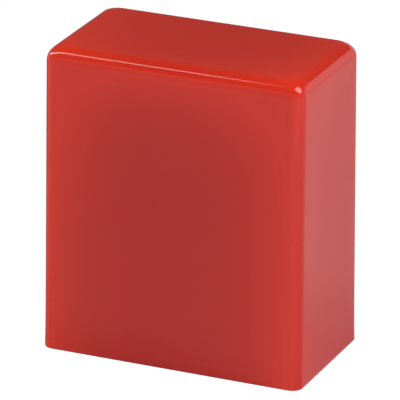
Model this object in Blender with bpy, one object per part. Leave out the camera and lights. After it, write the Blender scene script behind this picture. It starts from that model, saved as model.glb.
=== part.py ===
"""Pocket cue chalk: a slim block of chalk on a base plug, under a pull-off five-sided cover.

The origin is the centre of the footprint on the table. +Z is up, +X runs across the width, and the
broad front face looks along -Y. Everything is in metres. The cover and the pad inside its roof lift
straight up; the plug, the adhesive, the chalk and its paper label stay on the table.
"""

import math

import bmesh
import bpy
from mathutils import Vector

MM = 0.001

# Cover: outside sizes are taken at the rim, where it stands on the table.
COVER_WIDTH = 25.0 * MM
COVER_DEPTH = 14.0 * MM
COVER_HEIGHT = 28.5 * MM
SIDE_WALL = 1.1 * MM
ROOF_WALL = 1.3 * MM
DRAFT = 0.2 * MM  # how far each side leans in over the whole height
CORNER_AT_RIM = 0.9 * MM
CORNER_AT_TOP = 1.15 * MM
CORNER_OF_ROOF = 1.1 * MM  # corner radius of the flat part of the roof
TOP_FILLET = 1.35 * MM
INNER_CORNER = 0.7 * MM
INNER_CORNER_AT_ROOF = 0.35 * MM
INNER_FILLET = 0.8 * MM
RIM_BREAK = 0.12 * MM  # the small chamfer on both edges of the rim

# Clearances
GAP = 0.3 * MM  # between two pieces that rest on, or are stuck to, each other
FIT_GAP = 0.3 * MM  # between the plug's ribs and the cover's wall

# Base plug, pushed up into the cover's mouth
PLUG_HEIGHT = 4.0 * MM
PLUG_CORNER = 0.6 * MM
PLUG_CHAMFER = 0.25 * MM
RIB_PROUD = 0.25 * MM
RIB_RADIUS = 0.5 * MM
RIB_INSET = 4.0 * MM  # from the plug's ends to the ribs on its long sides
RIB_MARGIN = 0.5 * MM  # rib ends to the plug's underside and top
RIB_TAPER = 0.5 * MM
PINCH_WIDTH = 3.6 * MM  # the two fingernail recesses in the underside
PINCH_SIDE = 2.0 * MM
PINCH_DEPTH = 2.2 * MM
PINCH_WEB = 2.4 * MM  # the bar between them, held to pull the plug
PINCH_CORNER = 0.5 * MM

# Adhesive, chalk, label and roof pad
ADHESIVE_THICKNESS = 0.6 * MM
ADHESIVE_INSET = 1.4 * MM
ADHESIVE_CORNER = 0.8 * MM
LABEL_THICKNESS = 0.2 * MM
LABEL_CORNER = 0.9 * MM
LABEL_BARE = 2.6 * MM  # chalk left bare above the label
CHALK_EDGE = 0.35 * MM
DIMPLE_DEPTH = 1.9 * MM
DIMPLE_SIDE_LAND = 1.0 * MM
DIMPLE_END_LAND = 3.0 * MM
PAD_THICKNESS = 2.0 * MM
PAD_INSET = 1.1 * MM
PAD_CORNER = 0.8 * MM
PAD_EDGE = 0.3 * MM

CORNER_STEPS = 8
FILLET_STEPS = 8
RIB_STEPS = 16
SHARP_ANGLE = math.radians(35)


# Sizes that follow from the ones above


def lean(z):
    """How far each outer side of the cover has leant in at height z."""
    return DRAFT * z / COVER_HEIGHT


def cavity(z):
    """Width and depth of the cover's inside at height z."""
    inset = SIDE_WALL + lean(z)
    return COVER_WIDTH - 2 * inset, COVER_DEPTH - 2 * inset


PLUG_WIDTH, PLUG_DEPTH = (size - 2 * (FIT_GAP + RIB_PROUD) for size in cavity(PLUG_HEIGHT))
ROOF_UNDERSIDE = COVER_HEIGHT - ROOF_WALL
PAD_TOP = ROOF_UNDERSIDE - GAP
PAD_BOTTOM = PAD_TOP - PAD_THICKNESS
ADHESIVE_BOTTOM = PLUG_HEIGHT + GAP
CHALK_BOTTOM = ADHESIVE_BOTTOM + ADHESIVE_THICKNESS + GAP
CHALK_TOP = PAD_BOTTOM - GAP
CHALK_INSET = LABEL_THICKNESS + GAP  # from the plug's outline, which the label lines up with
CHALK_WIDTH = PLUG_WIDTH - 2 * CHALK_INSET
CHALK_DEPTH = PLUG_DEPTH - 2 * CHALK_INSET
CHALK_CORNER = LABEL_CORNER - CHALK_INSET
LABEL_TOP = CHALK_TOP - LABEL_BARE


# Building blocks


def clear_scene():
    """Removes every object that the file opened with."""
    for obj in list(bpy.data.objects):
        bpy.data.objects.remove(obj)


def plastic(name, colour, roughness):
    """A plain Principled material; nothing on this object is metal."""
    material = bpy.data.materials.new(name)
    material.use_nodes = True
    shader = material.node_tree.nodes["Principled BSDF"]
    shader.inputs["Base Color"].default_value = (*colour, 1.0)
    shader.inputs["Roughness"].default_value = roughness
    shader.inputs["Metallic"].default_value = 0.0
    material.diffuse_color = (*colour, 1.0)
    return material


def rounded_ring(width, depth, corner, z):
    """Points of a rectangle with round corners, counter-clockwise seen from above."""
    points = []
    for quarter, (side_x, side_y) in enumerate(((1, 1), (-1, 1), (-1, -1), (1, -1))):
        centre_x = side_x * (width / 2 - corner)
        centre_y = side_y * (depth / 2 - corner)
        for step in range(CORNER_STEPS + 1):
            angle = math.radians(90) * (quarter + step / CORNER_STEPS)
            x = centre_x + corner * math.cos(angle)
            y = centre_y + corner * math.sin(angle)
            points.append(Vector((x, y, z)))
    return points


def loft_mesh(name, rings, closed=False):
    """A mesh through the rings in turn: its ends are capped, or a closed loft joins last to first."""
    shape = bmesh.new()
    loops = [[shape.verts.new(point) for point in ring] for ring in rings]
    pairs = list(zip(loops, loops[1:]))
    if closed:
        pairs.append((loops[-1], loops[0]))
    else:
        shape.faces.new(list(reversed(loops[0])))
        shape.faces.new(loops[-1])
    for lower, upper in pairs:
        for here, corner in enumerate(lower):
            there = (here + 1) % len(lower)
            shape.faces.new((corner, lower[there], upper[there], upper[here]))
    mesh = bpy.data.meshes.new(name)
    shape.to_mesh(mesh)
    shape.free()
    return mesh


def place(name, mesh, material, parent=None):
    """Adds the mesh to the scene as a named sub-part."""
    mesh.shade_smooth()
    mesh.set_sharp_from_angle(angle=SHARP_ANGLE)
    mesh.materials.append(material)
    obj = bpy.data.objects.new(name, mesh)
    bpy.context.collection.objects.link(obj)
    obj.parent = parent
    return obj


def tool_body(name, mesh):
    """A body that only shapes another one, so it is drawn as wire and never rendered."""
    obj = bpy.data.objects.new(name, mesh)
    bpy.context.collection.objects.link(obj)
    obj.hide_render = True
    obj.display_type = "WIRE"
    return obj


def combine(obj, tool, operation):
    """Cuts the tool body from the object, or joins it on."""
    modifier = obj.modifiers.new(tool.name, "BOOLEAN")
    modifier.object = tool
    modifier.operation = operation
    modifier.solver = "EXACT"


def slab(width, depth, corner, bottom, top, edge):
    """Rings of an upright block with round corners and a small chamfer at both ends."""
    inner = (width - 2 * edge, depth - 2 * edge, corner)
    return [
        rounded_ring(*inner, bottom),
        rounded_ring(width, depth, corner, bottom + edge),
        rounded_ring(width, depth, corner, top - edge),
        rounded_ring(*inner, top),
    ]


# Sub-parts


def cover_outside():
    """Rings up the cover's outside, from the rim to the flat of the roof."""
    rings = [
        rounded_ring(COVER_WIDTH - 2 * RIM_BREAK, COVER_DEPTH - 2 * RIM_BREAK, CORNER_AT_RIM, 0.0)
    ]
    shoulder = COVER_HEIGHT - TOP_FILLET
    wall_heights = (RIM_BREAK, shoulder / 3, 2 * shoulder / 3)
    for z in wall_heights:
        corner = CORNER_AT_RIM + (CORNER_AT_TOP - CORNER_AT_RIM) * z / shoulder
        rings.append(
            rounded_ring(COVER_WIDTH - 2 * lean(z), COVER_DEPTH - 2 * lean(z), corner, z)
        )
    for step in range(FILLET_STEPS + 1):
        angle = math.radians(90) * step / FILLET_STEPS
        turned = 1 - math.cos(angle)
        inset = lean(shoulder) + TOP_FILLET * turned
        corner = CORNER_AT_TOP + (CORNER_OF_ROOF - CORNER_AT_TOP) * turned
        z = shoulder + TOP_FILLET * math.sin(angle)
        rings.append(rounded_ring(COVER_WIDTH - 2 * inset, COVER_DEPTH - 2 * inset, corner, z))
    return rings


def cover_inside():
    """Rings down the cover's inside, from under the roof to the rim."""
    rings = []
    width, depth = cavity(ROOF_UNDERSIDE)
    for step in range(FILLET_STEPS, -1, -1):
        angle = math.radians(90) * step / FILLET_STEPS
        inset = INNER_FILLET * (1 - math.cos(angle))
        z = ROOF_UNDERSIDE - INNER_FILLET * (1 - math.sin(angle))
        corner = INNER_CORNER + (INNER_CORNER_AT_ROOF - INNER_CORNER) * step / FILLET_STEPS
        rings.append(rounded_ring(width - 2 * inset, depth - 2 * inset, corner, z))
    width, depth = cavity(RIM_BREAK)
    rings.append(rounded_ring(width, depth, INNER_CORNER, RIM_BREAK))
    rings.append(rounded_ring(width + 2 * RIM_BREAK, depth + 2 * RIM_BREAK, INNER_CORNER, 0.0))
    return rings


def make_cover(parent):
    """The thin glossy cap: a drafted shell with soft top edges, open at the bottom."""
    mesh = loft_mesh("cover", cover_inside() + cover_outside())
    return place("cover", mesh, plastic("cover_red", (0.56, 0.028, 0.016), 0.16), parent)


def make_roof_pad(parent):
    """Soft foam stuck under the roof, which closes on the chalk and keeps its dust in."""
    width, depth = (size - 2 * PAD_INSET for size in cavity(PAD_TOP))
    mesh = loft_mesh(
        "roof_pad", slab(width, depth, PAD_CORNER, PAD_BOTTOM, PAD_TOP, PAD_EDGE)
    )
    return place("roof_pad", mesh, plastic("foam_grey", (0.09, 0.09, 0.10), 0.95), parent)


def rib_mesh():
    """The six upright crush ribs round the plug, as half-round posts sunk into its sides."""
    sink = RIB_RADIUS - RIB_PROUD
    side_x = PLUG_WIDTH / 2 - RIB_INSET
    side_y = PLUG_DEPTH / 2 - sink
    feet = [(x, y) for x in (-side_x, side_x) for y in (-side_y, side_y)]
    feet += [(x, 0.0) for x in (-PLUG_WIDTH / 2 + sink, PLUG_WIDTH / 2 - sink)]
    bottom, top = RIB_MARGIN, PLUG_HEIGHT - RIB_MARGIN
    profile = (
        (bottom, sink),
        (bottom + RIB_TAPER, RIB_RADIUS),
        (top - RIB_TAPER, RIB_RADIUS),
        (top, sink),
    )
    posts = bmesh.new()
    for x, y in feet:
        rings = [
            [
                Vector((x + radius * math.cos(angle), y + radius * math.sin(angle), z))
                for angle in (math.tau * step / RIB_STEPS for step in range(RIB_STEPS))
            ]
            for z, radius in profile
        ]
        posts.from_mesh(loft_mesh("rib", rings))
    mesh = bpy.data.meshes.new("ribs")
    posts.to_mesh(mesh)
    posts.free()
    return mesh


def pinch_recess(side):
    """One fingernail recess in the plug's underside, on the given side of the pinch web."""
    length = PLUG_DEPTH - 2 * PINCH_SIDE
    rings = [
        rounded_ring(PINCH_WIDTH, length, PINCH_CORNER, z) for z in (-PINCH_DEPTH, PINCH_DEPTH)
    ]
    tool = tool_body(f"pinch_recess_{'left' if side < 0 else 'right'}", loft_mesh("recess", rings))
    tool.location.x = side * (PINCH_WEB + PINCH_WIDTH) / 2
    return tool


def make_base_plug():
    """The moulded plug that carries the chalk, grips the cover's mouth and stands on the table."""
    rings = slab(PLUG_WIDTH, PLUG_DEPTH, PLUG_CORNER, 0.0, PLUG_HEIGHT, PLUG_CHAMFER)
    black = plastic("plug_black", (0.03, 0.03, 0.033), 0.4)
    plug = place("base_plug", loft_mesh("base_plug", rings), black)
    combine(plug, tool_body("crush_ribs", rib_mesh()), "UNION")
    for side in (-1, 1):
        combine(plug, pinch_recess(side), "DIFFERENCE")
    return plug


def make_adhesive_pad():
    """The double-sided pad that fixes the chalk to the plug."""
    width = PLUG_WIDTH - 2 * ADHESIVE_INSET
    depth = PLUG_DEPTH - 2 * ADHESIVE_INSET
    rings = [
        rounded_ring(width, depth, ADHESIVE_CORNER, z)
        for z in (ADHESIVE_BOTTOM, ADHESIVE_BOTTOM + ADHESIVE_THICKNESS)
    ]
    mesh = loft_mesh("adhesive_pad", rings)
    return place("adhesive_pad", mesh, plastic("adhesive_white", (0.7, 0.68, 0.6), 0.6))


def dimple_tool():
    """A flattened ball that presses the worn hollow into the top of the chalk."""
    rise = DIMPLE_DEPTH  # the ball's centre stands this far above the chalk
    tall = DIMPLE_DEPTH + rise
    at_surface = math.sqrt(1 - (rise / tall) ** 2)
    half_length = (CHALK_WIDTH / 2 - DIMPLE_END_LAND) / at_surface
    half_width = (CHALK_DEPTH / 2 - DIMPLE_SIDE_LAND) / at_surface
    ball = bmesh.new()
    bmesh.ops.create_uvsphere(ball, u_segments=40, v_segments=24, radius=1.0)
    bmesh.ops.scale(ball, vec=(half_length, half_width, tall), verts=ball.verts)
    mesh = bpy.data.meshes.new("dimple")
    ball.to_mesh(mesh)
    ball.free()
    tool = tool_body("dimple", mesh)
    tool.location.z = CHALK_TOP + rise
    return tool


def make_chalk_block():
    """The pressed chalk, with the hollow that cue tips wear in its top."""
    rings = slab(CHALK_WIDTH, CHALK_DEPTH, CHALK_CORNER, CHALK_BOTTOM, CHALK_TOP, CHALK_EDGE)
    blue = plastic("chalk_blue", (0.05, 0.22, 0.42), 0.95)
    chalk = place("chalk_block", loft_mesh("chalk_block", rings), blue)
    combine(chalk, dimple_tool(), "DIFFERENCE")
    return chalk


def make_paper_label():
    """The paper sleeve glued round the chalk's four sides, level with the plug's outline."""
    inner_width = PLUG_WIDTH - 2 * LABEL_THICKNESS
    inner_depth = PLUG_DEPTH - 2 * LABEL_THICKNESS
    inner_corner = LABEL_CORNER - LABEL_THICKNESS
    rings = [
        rounded_ring(PLUG_WIDTH, PLUG_DEPTH, LABEL_CORNER, CHALK_BOTTOM),
        rounded_ring(PLUG_WIDTH, PLUG_DEPTH, LABEL_CORNER, LABEL_TOP),
        rounded_ring(inner_width, inner_depth, inner_corner, LABEL_TOP),
        rounded_ring(inner_width, inner_depth, inner_corner, CHALK_BOTTOM),
    ]
    mesh = loft_mesh("paper_label", rings, closed=True)
    return place("paper_label", mesh, plastic("label_paper", (0.55, 0.56, 0.52), 0.8))


def main():
    clear_scene()
    make_base_plug()
    make_adhesive_pad()
    make_chalk_block()
    make_paper_label()
    cover_lift = bpy.data.objects.new("cover_lift", None)  # on the axis that the cover slides along
    bpy.context.collection.objects.link(cover_lift)
    make_cover(cover_lift)
    make_roof_pad(cover_lift)


main()
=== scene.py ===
"""The looks of a pocket cue chalk: a glossy red cover over a block of chalk on a black plug.

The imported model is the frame. Sizes are in metres, in the frame's own axes: +Z is up, and the broad
front face looks along -Y.
"""

import math

import bmesh
import bpy
from mathutils import Matrix, Vector, noise


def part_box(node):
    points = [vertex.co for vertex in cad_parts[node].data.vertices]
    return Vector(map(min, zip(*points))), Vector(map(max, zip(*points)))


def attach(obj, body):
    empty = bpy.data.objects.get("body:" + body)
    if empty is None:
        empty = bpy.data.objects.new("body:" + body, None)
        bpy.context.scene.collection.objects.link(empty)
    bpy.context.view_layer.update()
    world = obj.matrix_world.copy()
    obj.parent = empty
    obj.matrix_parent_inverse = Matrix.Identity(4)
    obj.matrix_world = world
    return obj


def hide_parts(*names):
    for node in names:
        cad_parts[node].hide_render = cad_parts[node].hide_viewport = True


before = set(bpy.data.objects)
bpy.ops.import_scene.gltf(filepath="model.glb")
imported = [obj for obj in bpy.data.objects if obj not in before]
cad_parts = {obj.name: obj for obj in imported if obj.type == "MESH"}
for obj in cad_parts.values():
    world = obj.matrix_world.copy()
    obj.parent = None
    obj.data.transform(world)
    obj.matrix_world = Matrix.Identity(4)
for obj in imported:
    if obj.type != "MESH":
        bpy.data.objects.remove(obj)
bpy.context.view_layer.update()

MM = 0.001

# Camera
VIEW_AZIMUTH = math.radians(23.51)
VIEW_ELEVATION = math.radians(21.16)
VIEW_ROLL = math.radians(0.38)
VIEW_DISTANCE = 447.0 * MM
VIEW_RISE = 12.78 * MM  # the camera's own shift up, so that it looks at the object's middle
LENS_MM = 447.3
SENSOR_MM = 36.0

# Cover
SIDE_WALL = 1.1 * MM
ROOF_WALL = 1.3 * MM
DRAFT = 0.15 * MM  # how far each side leans in, besides the flare at the rim
RIM_FLARE = 0.04 * MM
FLARE_HEIGHT = 1.4 * MM
CORNER_AT_RIM = 1.0 * MM
CORNER_AT_TOP = 1.2 * MM
CORNER_OF_ROOF = 1.1 * MM
TOP_FILLET = 1.35 * MM
INNER_CORNER = 0.7 * MM
INNER_CORNER_AT_ROOF = 0.35 * MM
INNER_FILLET = 0.8 * MM
RIM_BREAK = 0.12 * MM
WALL_BOW = 0.05 * MM  # how far the middle of a face has sunk in the mould
ROOF_BOW = 0.015 * MM
INNER_STEPS = 8
FILLET_STEPS = 14
WALL_STEPS = 36
ROOF_STEPS = 14

# Painted glow of the cover's edges, light painted into the plastic's colour
PAINTED_GLOW_REACH = 3.3 * MM  # the distance over which an edge's painted glow falls to a little over a third
PAINTED_GLOW_LIMIT = 0.65  # how much of the brightest colour, the painted glow's red, an edge may take

# Foam pad, chalk, label and adhesive
LEAST_CORNER = 0.05 * MM  # corner radius of the innermost rings, which close a face
FOAM_EDGE = 0.35 * MM
FOAM_CORNER = 0.8 * MM
FOAM_DISH = 0.25 * MM  # how far the chalk presses the pad in
CHALK_CORNER = 0.45 * MM
CHALK_EDGE = 0.3 * MM
HOLLOW_DEPTH = 1.9 * MM
HOLLOW_END_LAND = 2.9 * MM  # what the hollow leaves flat at each end of the block, were it centred
HOLLOW_SIDE_LAND = 0.9 * MM
HOLLOW_X = 0.5 * MM  # where the hollow's centre is
HOLLOW_Y = -0.1 * MM
LABEL_CORNER = 0.9 * MM
LABEL_OUTSIDE = 0.02 * MM  # from the CAD label's outline to the paper's outer face
LABEL_INSIDE = 0.14 * MM  # and to its inner face
LABEL_TEAR = 0.12 * MM  # how far the torn top edge can stray from its middle height
LABEL_TOP_ROOM = 0.14 * MM  # left for it under the CAD label's top
LAP_WIDTH = 3.0 * MM
LAP_START = 5.2 * MM  # from the label's left end to the flap, at the back
TAPE_CORNER = 0.8 * MM

# Studio
ROOM_FRONT = 0.17  # radiance of the dim room above the sweep, in front of the object
ROOM_BACK = 0.12
SWEEP_LIGHT = 0.57  # radiance of the white sweep in front of and beside the table
SWEEP_BACK_LEFT = 0.12  # and behind it, at the left, where the room is dark
SWEEP_BACK_RIGHT = 0.88  # and behind it, at the right
SWEEP_BACK_SIDES = (-0.3, 0.1)  # where left turns into right, as the x of a direction
SWEEP_BACK_TURN = (0.2, 0.8)  # where beside turns into behind, as the y of a direction
SWEEP_TOP = 0.373  # how high the sweep reaches at the sides, as the z of a direction
SWEEP_TILT = -0.095  # what is added to that behind, and taken off in front
SWEEP_NEAR = 0.10  # metres from the object at which the table starts to turn into the sweep
SWEEP_FAR = 0.35  # and at which it is all sweep
FLOOR_RADIUS = 1.5
FLOOR_DROP = 0.02 * MM  # keeps the floor clear of the plug's underside


# Mesh building


def ring_points(width, depth, corner, steps):
    """A rectangle with round corners, counter-clockwise from above.

    steps is how many pieces a corner, a long side and a short side are cut into.
    """
    corner_steps, width_steps, depth_steps = steps
    points = []
    for quarter, (side_x, side_y) in enumerate(((1, 1), (-1, 1), (-1, -1), (1, -1))):
        centre = Vector((side_x * (width / 2 - corner), side_y * (depth / 2 - corner)))
        for index in range(corner_steps + 1):
            angle = math.radians(90) * (quarter + index / corner_steps)
            points.append(centre + corner * Vector((math.cos(angle), math.sin(angle))))
        if quarter % 2:
            run, count = Vector((0, -side_y * (depth - 2 * corner))), depth_steps
        else:
            run, count = Vector((-side_x * (width - 2 * corner), 0)), width_steps
        start = points[-1]
        for index in range(1, count):
            points.append(start + run * index / count)
    return points


def loft(name, rings, closed=False):
    """A mesh through rings of points, its ends capped unless the loft closes on itself."""
    shape = bmesh.new()
    loops = [[shape.verts.new(point) for point in ring] for ring in rings]
    pairs = list(zip(loops, loops[1:]))
    if closed:
        pairs.append((loops[-1], loops[0]))
    else:
        shape.faces.new(list(reversed(loops[0])))
        shape.faces.new(loops[-1])
    for lower, upper in pairs:
        for here, corner in enumerate(lower):
            there = (here + 1) % len(lower)
            shape.faces.new((corner, lower[there], upper[there], upper[here]))
    bmesh.ops.recalc_face_normals(shape, faces=shape.faces)
    mesh = bpy.data.meshes.new(name)
    shape.to_mesh(mesh)
    shape.free()
    return mesh


def add_piece(name, mesh, material, body, node, sharp_degrees=40):
    """Shows the mesh as a piece that moves with its body and may stand for a CAD node."""
    mesh.shade_smooth()
    mesh.set_sharp_from_angle(angle=math.radians(sharp_degrees))
    mesh.materials.append(material)
    piece = bpy.data.objects.new(name, mesh)
    bpy.context.scene.collection.objects.link(piece)
    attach(piece, body)
    if node:
        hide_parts(node)
    return piece


def quarter_turn(step, steps):
    """The angle of a step of a quarter circle, from 0 to 90 degrees."""
    return math.radians(90) * step / steps


def swell(along, span):
    """1 in the middle of a face and 0 with no slope at its edges."""
    share = min(1.0, abs(2 * along / span))
    return (1 - share * share) ** 2


# Shader building


class Paint:
    """One material, and short calls that add nodes to it."""

    def __init__(self, name, **settings):
        self.material = bpy.data.materials.new(name)
        self.material.use_nodes = True
        self.tree = self.material.node_tree
        self.shader = self.tree.nodes["Principled BSDF"]
        self.place = self.add("ShaderNodeTexCoord").outputs
        for socket, value in settings.items():
            self.feed(self.shader.inputs[socket.replace("_", " ")], value)

    def add(self, kind, feeds=None, **settings):
        """A new node, with its settings made and its sockets fed."""
        node = self.tree.nodes.new(kind)
        for setting, value in settings.items():
            setattr(node, setting, value)
        for socket, value in (feeds or {}).items():
            self.feed(node.inputs[socket], value)
        return node

    def feed(self, socket, value):
        """Links an output to the socket, or sets the socket to a constant."""
        if isinstance(value, bpy.types.NodeSocket):
            self.tree.links.new(value, socket)
        else:
            socket.default_value = value

    def math(self, operation, *values):
        """One arithmetic step on numbers or outputs."""
        return self.add("ShaderNodeMath", dict(enumerate(values)), operation=operation).outputs[0]

    def total(self, *values):
        """The sum of several numbers."""
        result = values[0]
        for value in values[1:]:
            result = self.math("ADD", result, value)
        return result

    def blend(self, share, first, second, held=True):
        """A colour between two, or past them where the share isn't held between 0 and 1."""
        feeds = {0: share, 6: first, 7: second}
        node = self.add("ShaderNodeMix", feeds, data_type="RGBA", clamp_factor=held)
        return node.outputs[2]

    def span(self, value, low, high, to_low=0.0, to_high=1.0, smooth=True):
        """The value moved from one range to another, and held inside it."""
        kind = "SMOOTHSTEP" if smooth else "LINEAR"
        feeds = {0: value, 1: low, 2: high, 3: to_low, 4: to_high}
        return self.add("ShaderNodeMapRange", feeds, interpolation_type=kind).outputs[0]

    def noise(self, size, detail, roughness, stretch=(1, 1, 1)):
        """Noise from 0 to 1 whose patches are about size metres across, in the piece's own frame."""
        scaled = self.add(
            "ShaderNodeMapping", {"Vector": self.place["Object"], "Scale": stretch}
        ).outputs[0]
        feeds = {"Vector": scaled, "Scale": 1 / size, "Detail": detail, "Roughness": roughness}
        return self.add("ShaderNodeTexNoise", feeds).outputs[0]

    def axes(self, vector):
        """The x, y and z of a vector."""
        return self.add("ShaderNodeSeparateXYZ", {0: vector}).outputs

    def bump(self, height, distance, under=None):
        """A bump from a height of 0 to 1 over a distance in metres, on top of another bump."""
        feeds = {"Height": height, "Distance": distance, "Strength": 1.0}
        if under is not None:
            feeds["Normal"] = under
        return self.add("ShaderNodeBump", feeds).outputs[0]


def rgb(red, green, blue):
    """An opaque colour, in linear light."""
    return (red, green, blue, 1.0)


# Cover


def lean(z, height):
    """How far the cover's outer side has come in at height z: a flare at the rim, then the draft."""
    return RIM_FLARE * (1 - math.exp(-z / FLARE_HEIGHT)) + DRAFT * z / height


def cover_material(size):
    """Glossy translucent plastic, with a glow painted into its colour towards its edges, where light
    comes in on two sides.
    """
    paint = Paint("cover_plastic", Roughness=0.09, IOR=1.5)
    position = paint.axes(paint.place["Object"])
    normal = paint.axes(paint.place["Normal"])

    def near(axis, sign, face):
        """1 on a face of the cover, falling off with the distance from it."""
        signed = paint.math("MULTIPLY", position[axis], sign)
        depth = paint.math("SUBTRACT", signed, face)
        return paint.math("EXPONENT", paint.math("DIVIDE", depth, PAINTED_GLOW_REACH))

    ends = paint.total(near(0, 1, size.x / 2), near(0, -1, size.x / 2))
    front = near(1, -1, size.y / 2)
    back = near(1, 1, size.y / 2)
    roof = near(2, 1, size.z)
    # Painted glow at the back edges, only on faces that turn to the back.
    facing_back = paint.math("MAXIMUM", normal[1], 0.0)
    lit_back = paint.math("MULTIPLY", back, facing_back)
    around = paint.total(ends, roof)
    edges = paint.total(
        paint.math("MULTIPLY", front, around),
        paint.math("MULTIPLY", lit_back, around),
        paint.math("MULTIPLY", roof, ends),
    )
    # The painted glow is strongest on the broad faces and weakest on the ends.
    up = paint.math("MULTIPLY", normal[2], normal[2])
    broad = paint.math("POWER", paint.math("ABSOLUTE", normal[1]), 4.0)
    painted_glow_amount = paint.math("MULTIPLY_ADD", broad, 0.46, paint.math("MULTIPLY_ADD", up, 0.12, 0.11))
    glow = paint.math("MULTIPLY", edges, painted_glow_amount)
    flow = paint.span(paint.noise(9 * MM, 3.0, 0.55, (1, 1, 0.45)), 0.3, 0.7, -0.02, 0.02)
    # Both reds are painted a little duller on the roof, a painted shade of the top face.
    deep = paint.blend(up, rgb(0.565, 0.008, 0.003), rgb(0.540, 0.020, 0.006))
    bright = paint.blend(up, rgb(1.0, 0.040, 0.012), rgb(0.92, 0.046, 0.016))
    # The painted glow, with the plastic's random flow of tone, moves each point from deep towards
    # bright, the painted glow's red.
    level = paint.math("DIVIDE", paint.math("ADD", glow, flow), 0.6)
    share = paint.math("MINIMUM", level, PAINTED_GLOW_LIMIT)
    paint.feed(paint.shader.inputs["Base Color"], paint.blend(share, deep, bright, held=False))

    # Faint smears and grain in the gloss, and a moulded surface that isn't quite flat.
    smears = paint.span(paint.noise(4 * MM, 4.0, 0.6, (1, 1, 0.5)), 0.45, 0.75)
    grain = paint.noise(0.25 * MM, 3.0, 0.6)
    rough = paint.math("MULTIPLY_ADD", smears, 0.035, 0.075)
    rough = paint.math("MULTIPLY_ADD", grain, 0.02, rough)
    paint.feed(paint.shader.inputs["Roughness"], rough)
    waves = paint.noise(5 * MM, 1.0, 0.4)
    peel = paint.noise(0.45 * MM, 1.0, 0.4)
    bent = paint.bump(waves, 0.0035 * MM)
    paint.feed(paint.shader.inputs["Normal"], paint.bump(peel, 0.00012 * MM, under=bent))
    return paint.material


def make_cover():
    """The cap: sides that bow in a little and flare at the rim, and soft edges round the roof."""
    low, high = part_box("cover")
    size = high - low
    steps = (14, 28, 14)
    shoulder = size.z - TOP_FILLET
    under_roof = size.z - ROOF_WALL

    def inner(inset, corner, z):
        """A ring of the inside, with straight sides."""
        flat = ring_points(size.x - 2 * inset, size.y - 2 * inset, corner, steps)
        return [Vector((*point, z)) for point in flat]

    def outer(inset, corner, z):
        """A ring of the outside, whose sides bow in."""
        width, depth = size.x - 2 * inset, size.y - 2 * inset
        sink = WALL_BOW * swell(z - shoulder / 2, shoulder)
        ring = []
        for x, y in ring_points(width, depth, corner, steps):
            x -= math.copysign(sink * swell(y, depth), x)
            y -= math.copysign(sink * swell(x, width), y)
            ring.append(Vector((x, y, z)))
        return ring

    rings = []
    for step in range(INNER_STEPS, -1, -1):
        angle = quarter_turn(step, INNER_STEPS)
        inset = SIDE_WALL + lean(under_roof, size.z) + INNER_FILLET * (1 - math.cos(angle))
        corner = INNER_CORNER + (INNER_CORNER_AT_ROOF - INNER_CORNER) * step / INNER_STEPS
        rings.append(inner(inset, corner, under_roof - INNER_FILLET * (1 - math.sin(angle))))
    rings.append(inner(SIDE_WALL + lean(RIM_BREAK, size.z), INNER_CORNER, RIM_BREAK))
    rings.append(inner(SIDE_WALL - RIM_BREAK, INNER_CORNER, 0.0))
    # The rim's outer edge is broken in two steps, close to a quarter circle.
    rings.append(outer(RIM_BREAK, CORNER_AT_RIM, 0.0))
    rings.append(outer(0.25 * RIM_BREAK, CORNER_AT_RIM, 0.3 * RIM_BREAK))
    for step in range(WALL_STEPS):
        z = RIM_BREAK + (shoulder - RIM_BREAK) * (step / WALL_STEPS) ** 1.25
        corner = CORNER_AT_RIM + (CORNER_AT_TOP - CORNER_AT_RIM) * z / shoulder
        rings.append(outer(lean(z, size.z), corner, z))
    for step in range(FILLET_STEPS + 1):
        angle = quarter_turn(step, FILLET_STEPS)
        turned = 1 - math.cos(angle)
        inset = lean(shoulder, size.z) + TOP_FILLET * turned
        corner = CORNER_AT_TOP + (CORNER_OF_ROOF - CORNER_AT_TOP) * turned
        rings.append(outer(inset, corner, shoulder + TOP_FILLET * math.sin(angle)))
    rings += roof_rings(size, lean(shoulder, size.z) + TOP_FILLET, steps)
    mesh = loft("red_cover", rings)
    add_piece("red_cover", mesh, cover_material(size), "cover", "cover", 50)


def roof_rings(size, edge, steps):
    """The flat of the roof, which has sunk a little, in rings that close in on its middle line."""
    width, depth = size.x - 2 * edge, size.y - 2 * edge
    reach = depth / 2 - 0.1 * MM
    rings = []
    for step in range(1, ROOF_STEPS):
        inset = reach * step / (ROOF_STEPS - 1)
        corner = max(CORNER_OF_ROOF - inset, LEAST_CORNER)
        ring = []
        for x, y in ring_points(width - 2 * inset, depth - 2 * inset, corner, steps):
            sink = ROOF_BOW * swell(x, width) * swell(y, depth)
            ring.append(Vector((x, y, size.z - sink)))
        rings.append(ring)
    return rings


# Foam pad under the roof


def foam_material():
    """Charcoal open-cell foam, printed blue where it closes on the chalk."""
    paint = Paint("roof_foam", Roughness=0.95)
    cells = paint.add(
        "ShaderNodeTexVoronoi", {"Vector": paint.place["Object"], "Scale": 1 / (0.32 * MM)}
    ).outputs["Distance"]
    pores = paint.span(cells, 0.15, 0.6)
    foam = paint.blend(pores, rgb(0.022, 0.022, 0.025), rgb(0.085, 0.086, 0.093))
    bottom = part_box("roof_pad")[0].z
    print_height = paint.span(paint.axes(paint.place["Object"])[2], bottom + 0.35 * MM, bottom)
    patches = paint.span(paint.noise(1.3 * MM, 5.0, 0.6), 0.38, 0.62)
    printed = paint.math("MULTIPLY", print_height, patches)
    dusty = paint.math("MULTIPLY", printed, 0.85)
    paint.feed(
        paint.shader.inputs["Base Color"], paint.blend(dusty, foam, rgb(0.06, 0.20, 0.50))
    )
    paint.feed(paint.shader.inputs["Normal"], paint.bump(pores, 0.12 * MM))
    return paint.material


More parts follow.
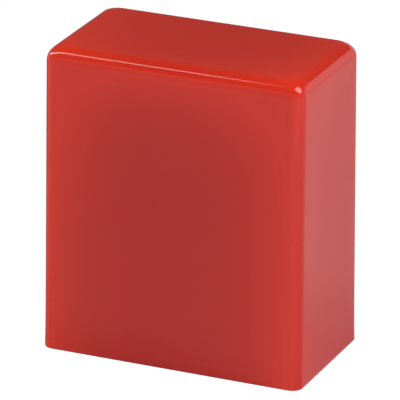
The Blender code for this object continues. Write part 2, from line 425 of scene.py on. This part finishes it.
def make_roof_pad():
    """A foam block whose cut edges are a little crushed, dished where the chalk presses it."""
    low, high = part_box("roof_pad")
    size = high - low
    steps = (5, 56, 26)
    edge_steps, wall_steps, inset_steps = 4, 7, 14
    reach = size.y / 2 - 0.15 * MM

    def point(x, y, z, height_share):
        """One point of the foam, moved by its cells, on sides that are drawn in at the waist."""
        cell = noise.noise(Vector((x, y, z)) / (0.55 * MM))
        fine = noise.noise(Vector((x, y, z + 1)) / (0.22 * MM))
        bulge = 0.05 * MM * cell + 0.03 * MM * fine
        across = Vector((x / size.x, y / size.y))
        outward = across.normalized() if across.length > 0 else across
        waist = -0.12 * MM * math.sin(math.pi * height_share) * min(1.0, 2 * across.length)
        return Vector((x, y, z)) + Vector((*(outward * (bulge + waist)), 0.5 * bulge))

    def ring(inset, z, share):
        """A ring at a share of the height. Those of the underside, at 0, are dished."""
        corner = max(FOAM_CORNER - inset, LEAST_CORNER)
        points = []
        for x, y in ring_points(size.x - 2 * inset, size.y - 2 * inset, corner, steps):
            dish = 0.0
            if share == 0:
                dish = FOAM_DISH * swell(x, 0.92 * size.x) * swell(y, 0.92 * size.y)
            points.append(point(x, y, z + dish, share))
        return points

    def rounded(step):
        """How far a step of the round edge has come in, and how far it is from the face."""
        angle = quarter_turn(step, edge_steps)
        return FOAM_EDGE * (1 - math.sin(angle)), FOAM_EDGE * (1 - math.cos(angle))

    def inward(step):
        """How far in a ring of the top or the underside lies."""
        return FOAM_EDGE + (reach - FOAM_EDGE) * (step / inset_steps)

    rings = [ring(inward(step), low.z, 0) for step in range(inset_steps, 0, -1)]
    for step in range(edge_steps + 1):
        inset, rise = rounded(step)
        rings.append(ring(inset, low.z + rise, 0.001))
    for step in range(1, wall_steps):
        share = step / wall_steps
        rings.append(ring(0.0, low.z + FOAM_EDGE + (size.z - 2 * FOAM_EDGE) * share, share))
    for step in range(edge_steps, -1, -1):
        inset, drop = rounded(step)
        rings.append(ring(inset, high.z - drop, 0.999))
    rings += [ring(inward(step), high.z, 1) for step in range(1, inset_steps + 1)]
    mesh = loft("foam_pad", rings)
    pad = add_piece("foam_pad", mesh, foam_material(), "cover", "roof_pad", 180)


# Chalk


def chalk_material():
    """Pressed powder: blue, mottled and matt, paler where it is rubbed and dusty."""
    paint = Paint("blue_chalk", Roughness=0.96)
    paint.feed(paint.shader.inputs["Specular IOR Level"], 0.25)
    mottled = paint.span(paint.noise(2.6 * MM, 5.0, 0.6), 0.3, 0.7)
    body = paint.blend(mottled, rgb(0.030, 0.140, 0.370), rgb(0.050, 0.200, 0.470))
    grains = paint.noise(0.16 * MM, 4.0, 0.7)
    pale = paint.span(grains, 0.56, 0.70)
    body = paint.blend(paint.math("MULTIPLY", pale, 0.42), body, rgb(0.19, 0.40, 0.66))
    dark = paint.span(grains, 0.40, 0.30)
    body = paint.blend(paint.math("MULTIPLY", dark, 0.5), body, rgb(0.016, 0.080, 0.23))
    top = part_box("chalk_block")[1].z
    rub = paint.span(paint.axes(paint.place["Object"])[2], top - 1.2 * MM, top)
    dust = paint.span(paint.noise(0.9 * MM, 5.0, 0.65), 0.42, 0.66)
    dusty = paint.math("MULTIPLY", paint.math("MULTIPLY", dust, rub), 0.55)
    body = paint.blend(dusty, body, rgb(0.28, 0.50, 0.74))
    paint.feed(paint.shader.inputs["Base Color"], body)
    coarse = paint.bump(paint.noise(0.7 * MM, 5.0, 0.65), 0.10 * MM)
    paint.feed(paint.shader.inputs["Normal"], paint.bump(grains, 0.035 * MM, under=coarse))
    return paint.material


def make_chalk():
    """A pressed block with crumbled top edges and an oval hollow that cue tips have ground."""
    low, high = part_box("chalk_block")
    size = high - low
    steps = (4, 72, 34)
    edge_steps, wall_steps, top_steps = 4, 44, 26
    hollow = Vector((size.x / 2 - HOLLOW_END_LAND, size.y / 2 - HOLLOW_SIDE_LAND))

    def surface(x, y, z, crumble):
        """A point of the block, roughened, with its edges knocked off by crumble."""
        at = Vector((x, y, z))
        rough = noise.fractal(at / (0.8 * MM), 1.0, 2.0, 4)
        chip = max(0.0, noise.noise(at / (1.1 * MM)) - 0.12) * crumble
        inward = Vector((-x / size.x, -y / size.y, 0)).normalized() if (x or y) else Vector()
        moved = at + inward * (0.03 * MM * rough + 0.75 * MM * chip)
        moved.z -= 0.45 * MM * chip + 0.02 * MM * rough * crumble
        return moved

    def worn(x, y):
        """How deep the hollow is here, with the faint grooves that turning tips leave."""
        away = math.hypot((x - HOLLOW_X) / hollow.x, (y - HOLLOW_Y) / hollow.y)
        bowl = max(0.0, 1 - away * away) ** 0.85
        grooves = 0.03 * MM * math.sin(26 * away + 1.5 * math.atan2(y, x))
        return HOLLOW_DEPTH * bowl + grooves * min(1.0, 3 * bowl)

    def ring(inset, z, crumble, top=False):
        """A ring of the block, sunk into the hollow if it lies on the top."""
        corner = max(CHALK_CORNER - inset, LEAST_CORNER)
        flat = ring_points(size.x - 2 * inset, size.y - 2 * inset, corner, steps)
        return [surface(x, y, z - (worn(x, y) if top else 0.0), crumble) for x, y in flat]

    rings = []
    for inset in (size.y / 2 - 0.2 * MM, 1.5 * MM, CHALK_EDGE):
        rings.append(ring(inset, low.z, 0.0))
    for step in range(wall_steps + 1):
        share = step / wall_steps
        z = low.z + CHALK_EDGE * 0.6 + (size.z - CHALK_EDGE * 1.6) * share
        crumble = max(0.0, 1 - (high.z - z) / (1.6 * MM)) ** 1.5
        rings.append(ring(0.0, z, crumble))
    for step in range(1, edge_steps + 1):
        angle = quarter_turn(step, edge_steps)
        inset = CHALK_EDGE * (1 - math.cos(angle))
        rings.append(ring(inset, high.z - CHALK_EDGE * (1 - math.sin(angle)), 1.0))
    reach = size.y / 2 - 0.12 * MM
    for step in range(1, top_steps + 1):
        inset = CHALK_EDGE + (reach - CHALK_EDGE) * step / top_steps
        crumble = max(0.0, 1 - (inset - CHALK_EDGE) / (1.0 * MM)) ** 1.5
        rings.append(ring(inset, high.z, crumble, top=True))
    mesh = loft("chalk", rings)
    add_piece("chalk", mesh, chalk_material(), "base", "chalk_block", 180)


# Paper label


def label_material():
    """Navy printed paper with plain cream stripes, worn pale along its top edge and dusty."""
    low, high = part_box("paper_label")
    paint = Paint("printed_paper", Roughness=0.62)
    height = paint.axes(paint.place["Object"])[2]
    mottle = paint.noise(0.5 * MM, 4.0, 0.6)
    navy = paint.blend(mottle, rgb(0.012, 0.022, 0.066), rgb(0.020, 0.034, 0.092))
    cream = paint.blend(mottle, rgb(0.60, 0.55, 0.42), rgb(0.70, 0.65, 0.51))

    def band(centre, width):
        """1 inside a stripe round the label, with a thin soft edge where the ink bled."""
        off = paint.math("ABSOLUTE", paint.math("SUBTRACT", height, centre))
        wobble = paint.math("MULTIPLY_ADD", mottle, 0.06 * MM, off)
        return paint.span(wobble, width / 2 + 0.05 * MM, width / 2 + 0.01 * MM)

    stripes = 0.0
    for from_edge, width in ((2.0 * MM, 0.9 * MM), (3.1 * MM, 0.25 * MM)):
        for centre in (low.z + from_edge, high.z - from_edge):
            stripes = paint.math("MAXIMUM", stripes, band(centre, width))
    printed = paint.blend(stripes, navy, cream)
    fibres = paint.noise(0.22 * MM, 4.0, 0.65, (1, 1, 0.35))
    worn_edge = paint.span(height, high.z - 0.45 * MM, high.z - 0.05 * MM)
    worn = paint.math("MULTIPLY", worn_edge, paint.span(fibres, 0.42, 0.6))
    printed = paint.blend(worn, printed, rgb(0.66, 0.64, 0.58))
    dust_share = paint.span(height, low.z + 9 * MM, high.z, 0.06, 0.75)
    dust = paint.span(paint.noise(1.6 * MM, 6.0, 0.65), 0.42, 0.72)
    dusty = paint.math("MULTIPLY", dust_share, dust)
    printed = paint.blend(dusty, printed, rgb(0.10, 0.27, 0.50))
    paint.feed(paint.shader.inputs["Base Color"], printed)
    paint.feed(paint.shader.inputs["Roughness"], paint.span(dusty, 0.0, 0.6, 0.55, 0.95))
    paint.feed(paint.shader.inputs["Normal"], paint.bump(fibres, 0.018 * MM))
    return paint.material


def make_label():
    """A strip of paper wrapped round the chalk, its end lapped over its start at the back."""
    low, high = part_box("paper_label")
    size = high - low
    bottom, top = low.z + 0.05 * MM, high.z - LABEL_TOP_ROOM
    steps = (8, 60, 26)
    wall_steps = 30
    fibre = 0.9 * MM  # how coarse the tear is

    def ring(inset, z):
        """The label at one height, its fit to the chalk never quite even."""
        points = []
        width, depth = size.x - 2 * inset, size.y - 2 * inset
        for x, y in ring_points(width, depth, LABEL_CORNER - inset, steps):
            at = Vector((x, y, z))
            slack = 0.035 * MM * noise.noise(at / (5 * MM))
            points.append(at + Vector((x / size.x, y / size.y, 0)).normalized() * slack)
        return points

    def torn(inset):
        """The label's top ring, its height following the torn edge of the paper."""
        return [
            point + Vector((0, 0, LABEL_TEAR * noise.fractal(point / fibre, 1, 2, 4)))
            for point in ring(inset, top)
        ]

    heights = [bottom + (top - bottom) * step / wall_steps for step in range(wall_steps)]
    rings = [ring(LABEL_OUTSIDE, z) for z in heights]
    rings += [torn(LABEL_OUTSIDE), torn(LABEL_INSIDE)]
    rings += [ring(LABEL_INSIDE, z) for z in reversed(heights)]
    mesh = loft("label", rings, closed=True)
    paper = label_material()
    add_piece("label", mesh, paper, "base", "paper_label")
    flap = lap_mesh(size, bottom, top)
    add_piece("label_lap", flap, paper, "base", None)


def lap_mesh(size, bottom, top):
    """The label's loose end: two sheets of points, an inner and an outer one, joined at the rim."""
    columns, rows = 10, 30
    shape = bmesh.new()

    def corner(side, row, column):
        """A point of the inner sheet, side 0, or of the outer one, side 1."""
        x = -size.x / 2 + LAP_START + LAP_WIDTH * column / columns
        z = bottom + (top - bottom) * row / rows
        lift = 0.015 * MM + side * 0.10 * MM
        if column == 0:
            lift -= side * 0.04 * MM
        if column == columns:
            lift += 0.05 * MM * side + 0.02 * MM * noise.noise(Vector((0, 0, z / MM)))
        if row == rows:
            z += LABEL_TEAR * noise.noise(Vector((x, 0, 0)) / (0.5 * MM))
        return shape.verts.new((x, size.y / 2 - LABEL_OUTSIDE + lift, z))

    inner, outer = (
        [[corner(side, row, column) for column in range(columns + 1)] for row in range(rows + 1)]
        for side in (0, 1)
    )
    for grid in (inner, outer):
        for near, far in zip(grid, grid[1:]):
            for column in range(columns):
                shape.faces.new((near[column], near[column + 1], far[column + 1], far[column]))
    rim = [(0, column) for column in range(columns)]
    rim += [(row, columns) for row in range(rows)]
    rim += [(rows, column) for column in range(columns, 0, -1)]
    rim += [(row, 0) for row in range(rows, 0, -1)]
    for (row, column), (next_row, next_column) in zip(rim, rim[1:] + rim[:1]):
        inside = (inner[row][column], inner[next_row][next_column])
        outside = (outer[next_row][next_column], outer[row][column])
        shape.faces.new(inside + outside)
    bmesh.ops.recalc_face_normals(shape, faces=shape.faces)
    mesh = bpy.data.meshes.new("label_lap")
    shape.to_mesh(mesh)
    shape.free()
    return mesh


# Adhesive and plug


def tape_material():
    """Cream foam tape with blue dust in its cells."""
    paint = Paint("foam_tape", Roughness=0.7)
    cells = paint.noise(0.3 * MM, 4.0, 0.6)
    dusty = paint.math("MULTIPLY", paint.span(cells, 0.5, 0.7), 0.5)
    tape = paint.blend(cells, rgb(0.50, 0.48, 0.41), rgb(0.66, 0.64, 0.56))
    paint.feed(paint.shader.inputs["Base Color"], paint.blend(dusty, tape, rgb(0.12, 0.28, 0.5)))
    paint.feed(paint.shader.inputs["Normal"], paint.bump(cells, 0.05 * MM))
    return paint.material


def make_adhesive():
    """Foam tape squeezed out unevenly between the plug and the chalk."""
    low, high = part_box("adhesive_pad")
    size = high - low
    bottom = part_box("base_plug")[1].z + 0.01 * MM
    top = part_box("chalk_block")[0].z + 0.05 * MM
    steps = (6, 40, 16)
    rows = 8
    rings = []
    for row in range(rows + 1):
        share = row / rows
        bulge = 0.12 * MM * math.sin(math.pi * share)
        ring = []
        for x, y in ring_points(size.x, size.y, TAPE_CORNER, steps):
            at = Vector((x, y, bottom + (top - bottom) * share))
            wander = 0.08 * MM * noise.noise(at / (1.5 * MM))
            ring.append(at + Vector((x / size.x, y / size.y, 0)).normalized() * (bulge + wander))
        rings.append(ring)
    mesh = loft("foam_tape", rings)
    add_piece("foam_tape", mesh, tape_material(), "base", "adhesive_pad", 50)


def plug_material():
    """Black plastic with a fine moulded texture, scuffed, with blue dust on its top."""
    paint = Paint("black_plastic", Roughness=0.42)
    texture = paint.noise(0.12 * MM, 3.0, 0.6)
    scuffs = paint.span(paint.noise(1.8 * MM, 6.0, 0.7), 0.56, 0.72)
    black = paint.blend(scuffs, rgb(0.014, 0.014, 0.016), rgb(0.030, 0.031, 0.035))
    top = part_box("base_plug")[1].z
    on_top = paint.span(paint.axes(paint.place["Object"])[2], top - 0.3 * MM, top)
    specks = paint.span(paint.noise(0.35 * MM, 5.0, 0.7), 0.5, 0.64)
    dusty = paint.math("MULTIPLY", paint.math("MULTIPLY", specks, on_top), 0.7)
    paint.feed(paint.shader.inputs["Base Color"], paint.blend(dusty, black, rgb(0.09, 0.24, 0.47)))
    paint.feed(paint.shader.inputs["Roughness"], paint.span(scuffs, 0, 1, 0.36, 0.55))
    paint.feed(paint.shader.inputs["Normal"], paint.bump(texture, 0.012 * MM))
    return paint.material


def finish_plug():
    """The CAD plug with its edges broken, in its own material."""
    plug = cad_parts["base_plug"]
    plug.data.materials.clear()
    plug.data.materials.append(plug_material())
    bevel = plug.modifiers.new("soft_edges", "BEVEL")
    bevel.width = 0.08 * MM
    bevel.segments = 3
    bevel.limit_method = "ANGLE"
    bevel.angle_limit = math.radians(40)


# Studio


def heading(azimuth, elevation):
    """A direction from the object: azimuth 0 is straight in front of it, 90 to its right."""
    azimuth, elevation = math.radians(azimuth), math.radians(elevation)
    flat = math.cos(elevation)
    return Vector((math.sin(azimuth) * flat, -math.cos(azimuth) * flat, math.sin(elevation)))


def add_lamp(name, first, last, width, radiance, distance=0.6):
    """A strip light between two directions from the object, which it faces.

    Each direction is an azimuth and an elevation, and width is an angle too, all in degrees. In
    Cycles, an area lamp's radiance is its power over four times its area.
    """
    ends = [heading(*first) * distance, heading(*last) * distance]
    centre = (ends[0] + ends[1]) / 2
    back = centre.normalized()
    across = (ends[1] - ends[0]).normalized()
    up = back.cross(across)
    light = bpy.data.lights.new(name, "AREA")
    light.shape = "RECTANGLE"
    light.size = (ends[1] - ends[0]).length
    light.size_y = 2 * distance * math.tan(math.radians(width / 2))
    light.energy = radiance * 4 * light.size * light.size_y
    lamp = bpy.data.objects.new(name, light)
    bpy.context.scene.collection.objects.link(lamp)
    turned = Matrix((across, up, back)).transposed().to_4x4()
    lamp.matrix_world = Matrix.Translation(centre) @ turned


def floor_material():
    """Pale round the object, with painted light that makes it paler to the right and glow faintly in
    front, and a painted shadow that makes it darker at its back left; it turns into a glowing sweep.
    """
    paint = Paint("floor_white", Roughness=0.9)
    paint.feed(paint.shader.inputs["Specular IOR Level"], 0.0)
    place = paint.place["Object"]
    position = paint.axes(place)
    away = paint.add("ShaderNodeVectorMath", {0: place}, operation="LENGTH").outputs["Value"]
    sweep = paint.span(away, SWEEP_NEAR, SWEEP_FAR)
    # Painted light: the table is paler to the object's right.
    painted_light_to_right = paint.span(position[0], 0.0, 30 * MM)
    table = paint.blend(painted_light_to_right, rgb(0.66, 0.66, 0.66), rgb(0.74, 0.74, 0.74))
    floor_grey_with_painted_light = paint.blend(sweep, table, rgb(0, 0, 0))
    # Painted shadow: the floor is darkened at the object's back left.
    from_left = paint.span(position[0], -40 * MM, 0.0)
    from_back = paint.span(position[1], 20 * MM, -10 * MM)
    shade = paint.math("MAXIMUM", from_left, from_back)
    floor_grey_with_painted_light = paint.blend(shade, rgb(0.15, 0.15, 0.15), floor_grey_with_painted_light)
    paint.feed(paint.shader.inputs["Base Color"], floor_grey_with_painted_light)
    paint.feed(paint.shader.inputs["Emission Color"], rgb(1, 1, 1))
    # Painted light: the table glows faintly near the object, most in front of it.
    near = paint.span(position[1], -20 * MM, 20 * MM, 0.16, 0.03)
    right, behind = (paint.math("DIVIDE", position[axis], away) for axis in (0, 1))
    back = paint.span(right, *SWEEP_BACK_SIDES, SWEEP_BACK_LEFT, SWEEP_BACK_RIGHT, smooth=False)
    far = paint.span(behind, *SWEEP_BACK_TURN, SWEEP_LIGHT, back, smooth=False)
    glow = paint.math("MULTIPLY_ADD", paint.math("SUBTRACT", far, near), sweep, near)
    paint.feed(paint.shader.inputs["Emission Strength"], glow)
    white = paint.add("ShaderNodeEmission", {"Strength": 1.3}).outputs[0]
    seen = paint.add("ShaderNodeLightPath").outputs["Is Camera Ray"]
    share = paint.math("MULTIPLY", seen, 0.75)
    shown = paint.add("ShaderNodeMixShader", {0: share, 1: paint.shader.outputs[0], 2: white})
    paint.feed(paint.tree.nodes["Material Output"].inputs["Surface"], shown.outputs[0])
    return paint.material


def make_floor():
    """A round table top, just below the object."""
    shape = bmesh.new()
    bmesh.ops.create_circle(shape, cap_ends=True, segments=96, radius=FLOOR_RADIUS)
    mesh = bpy.data.meshes.new("floor")
    shape.to_mesh(mesh)
    shape.free()
    mesh.materials.append(floor_material())
    floor = bpy.data.objects.new("floor", mesh)
    floor.location.z = -FLOOR_DROP
    bpy.context.scene.collection.objects.link(floor)


def make_world():
    """White to the camera. To other rays, a bright sweep up to a slanting edge, and a dim room."""
    world = bpy.data.worlds.new("studio")
    bpy.context.scene.world = world
    world.use_nodes = True
    tree = world.node_tree
    background = tree.nodes["Background"]
    background.inputs["Color"].default_value = rgb(1, 1, 1)

    def add(kind, feeds, **settings):
        """A new node, with its settings made and its sockets fed."""
        node = tree.nodes.new(kind)
        for setting, value in settings.items():
            setattr(node, setting, value)
        for socket, value in feeds.items():
            if isinstance(value, bpy.types.NodeSocket):
                tree.links.new(value, node.inputs[socket])
            else:
                node.inputs[socket].default_value = value
        return node.outputs

    def span(value, low, high, to_low, to_high):
        """The value moved from one range to another, and held inside it."""
        return add("ShaderNodeMapRange", {0: value, 1: low, 2: high, 3: to_low, 4: to_high})[0]

    def math_step(operation, *values):
        """One arithmetic step on numbers or outputs."""
        return add("ShaderNodeMath", dict(enumerate(values)), operation=operation)[0]

    direction = add("ShaderNodeSeparateXYZ", {0: add("ShaderNodeTexCoord", {})["Generated"]})
    room = span(direction[1], -0.6, 0.7, ROOM_FRONT, ROOM_BACK)
    edge = math_step("MULTIPLY_ADD", direction[1], SWEEP_TILT, SWEEP_TOP)
    above = span(math_step("SUBTRACT", direction[2], edge), -0.02, 0.02, 0.0, 1.0)
    seen = add("ShaderNodeLightPath", {})["Is Camera Ray"]
    dim = math_step("MULTIPLY", above, math_step("SUBTRACT", 1.0, seen))
    back = span(direction[0], *SWEEP_BACK_SIDES, SWEEP_BACK_LEFT, SWEEP_BACK_RIGHT)
    far = span(direction[1], *SWEEP_BACK_TURN, SWEEP_LIGHT, back)
    low = span(seen, 0.0, 1.0, far, 1.0)
    tree.links.new(span(dim, 0.0, 1.0, low, room), background.inputs["Strength"])


def make_camera():
    """The camera, from its direction, distance and roll."""
    back = heading(math.degrees(VIEW_AZIMUTH), math.degrees(VIEW_ELEVATION))
    level = Vector((math.cos(VIEW_AZIMUTH), math.sin(VIEW_AZIMUTH), 0))
    rise = back.cross(level)
    right = level * math.cos(VIEW_ROLL) + rise * math.sin(VIEW_ROLL)
    up = rise * math.cos(VIEW_ROLL) - level * math.sin(VIEW_ROLL)
    data = bpy.data.cameras.new("camera")
    data.sensor_width = SENSOR_MM
    data.lens = LENS_MM
    data.clip_start = 0.01
    data.clip_end = 10.0
    camera = bpy.data.objects.new("camera", data)
    bpy.context.scene.collection.objects.link(camera)
    turned = Matrix((right, up, back)).transposed().to_4x4()
    camera.matrix_world = Matrix.Translation(back * VIEW_DISTANCE + up * VIEW_RISE) @ turned
    bpy.context.scene.camera = camera


def main():
    make_camera()
    make_world()
    make_floor()
    add_lamp("front_lamp", (-43, 60), (-52, 57), 7, 4.2)
    add_lamp("left_lamp", (-52, 57), (-100, 20), 8, 7.6)
    add_lamp("right_lamp", (70, 50), (114, 50), 36, 4.3, 0.3)
    bpy.context.scene.view_settings.view_transform = "Standard"
    make_cover()
    make_roof_pad()
    make_chalk()
    make_label()
    make_adhesive()
    finish_plug()


main()
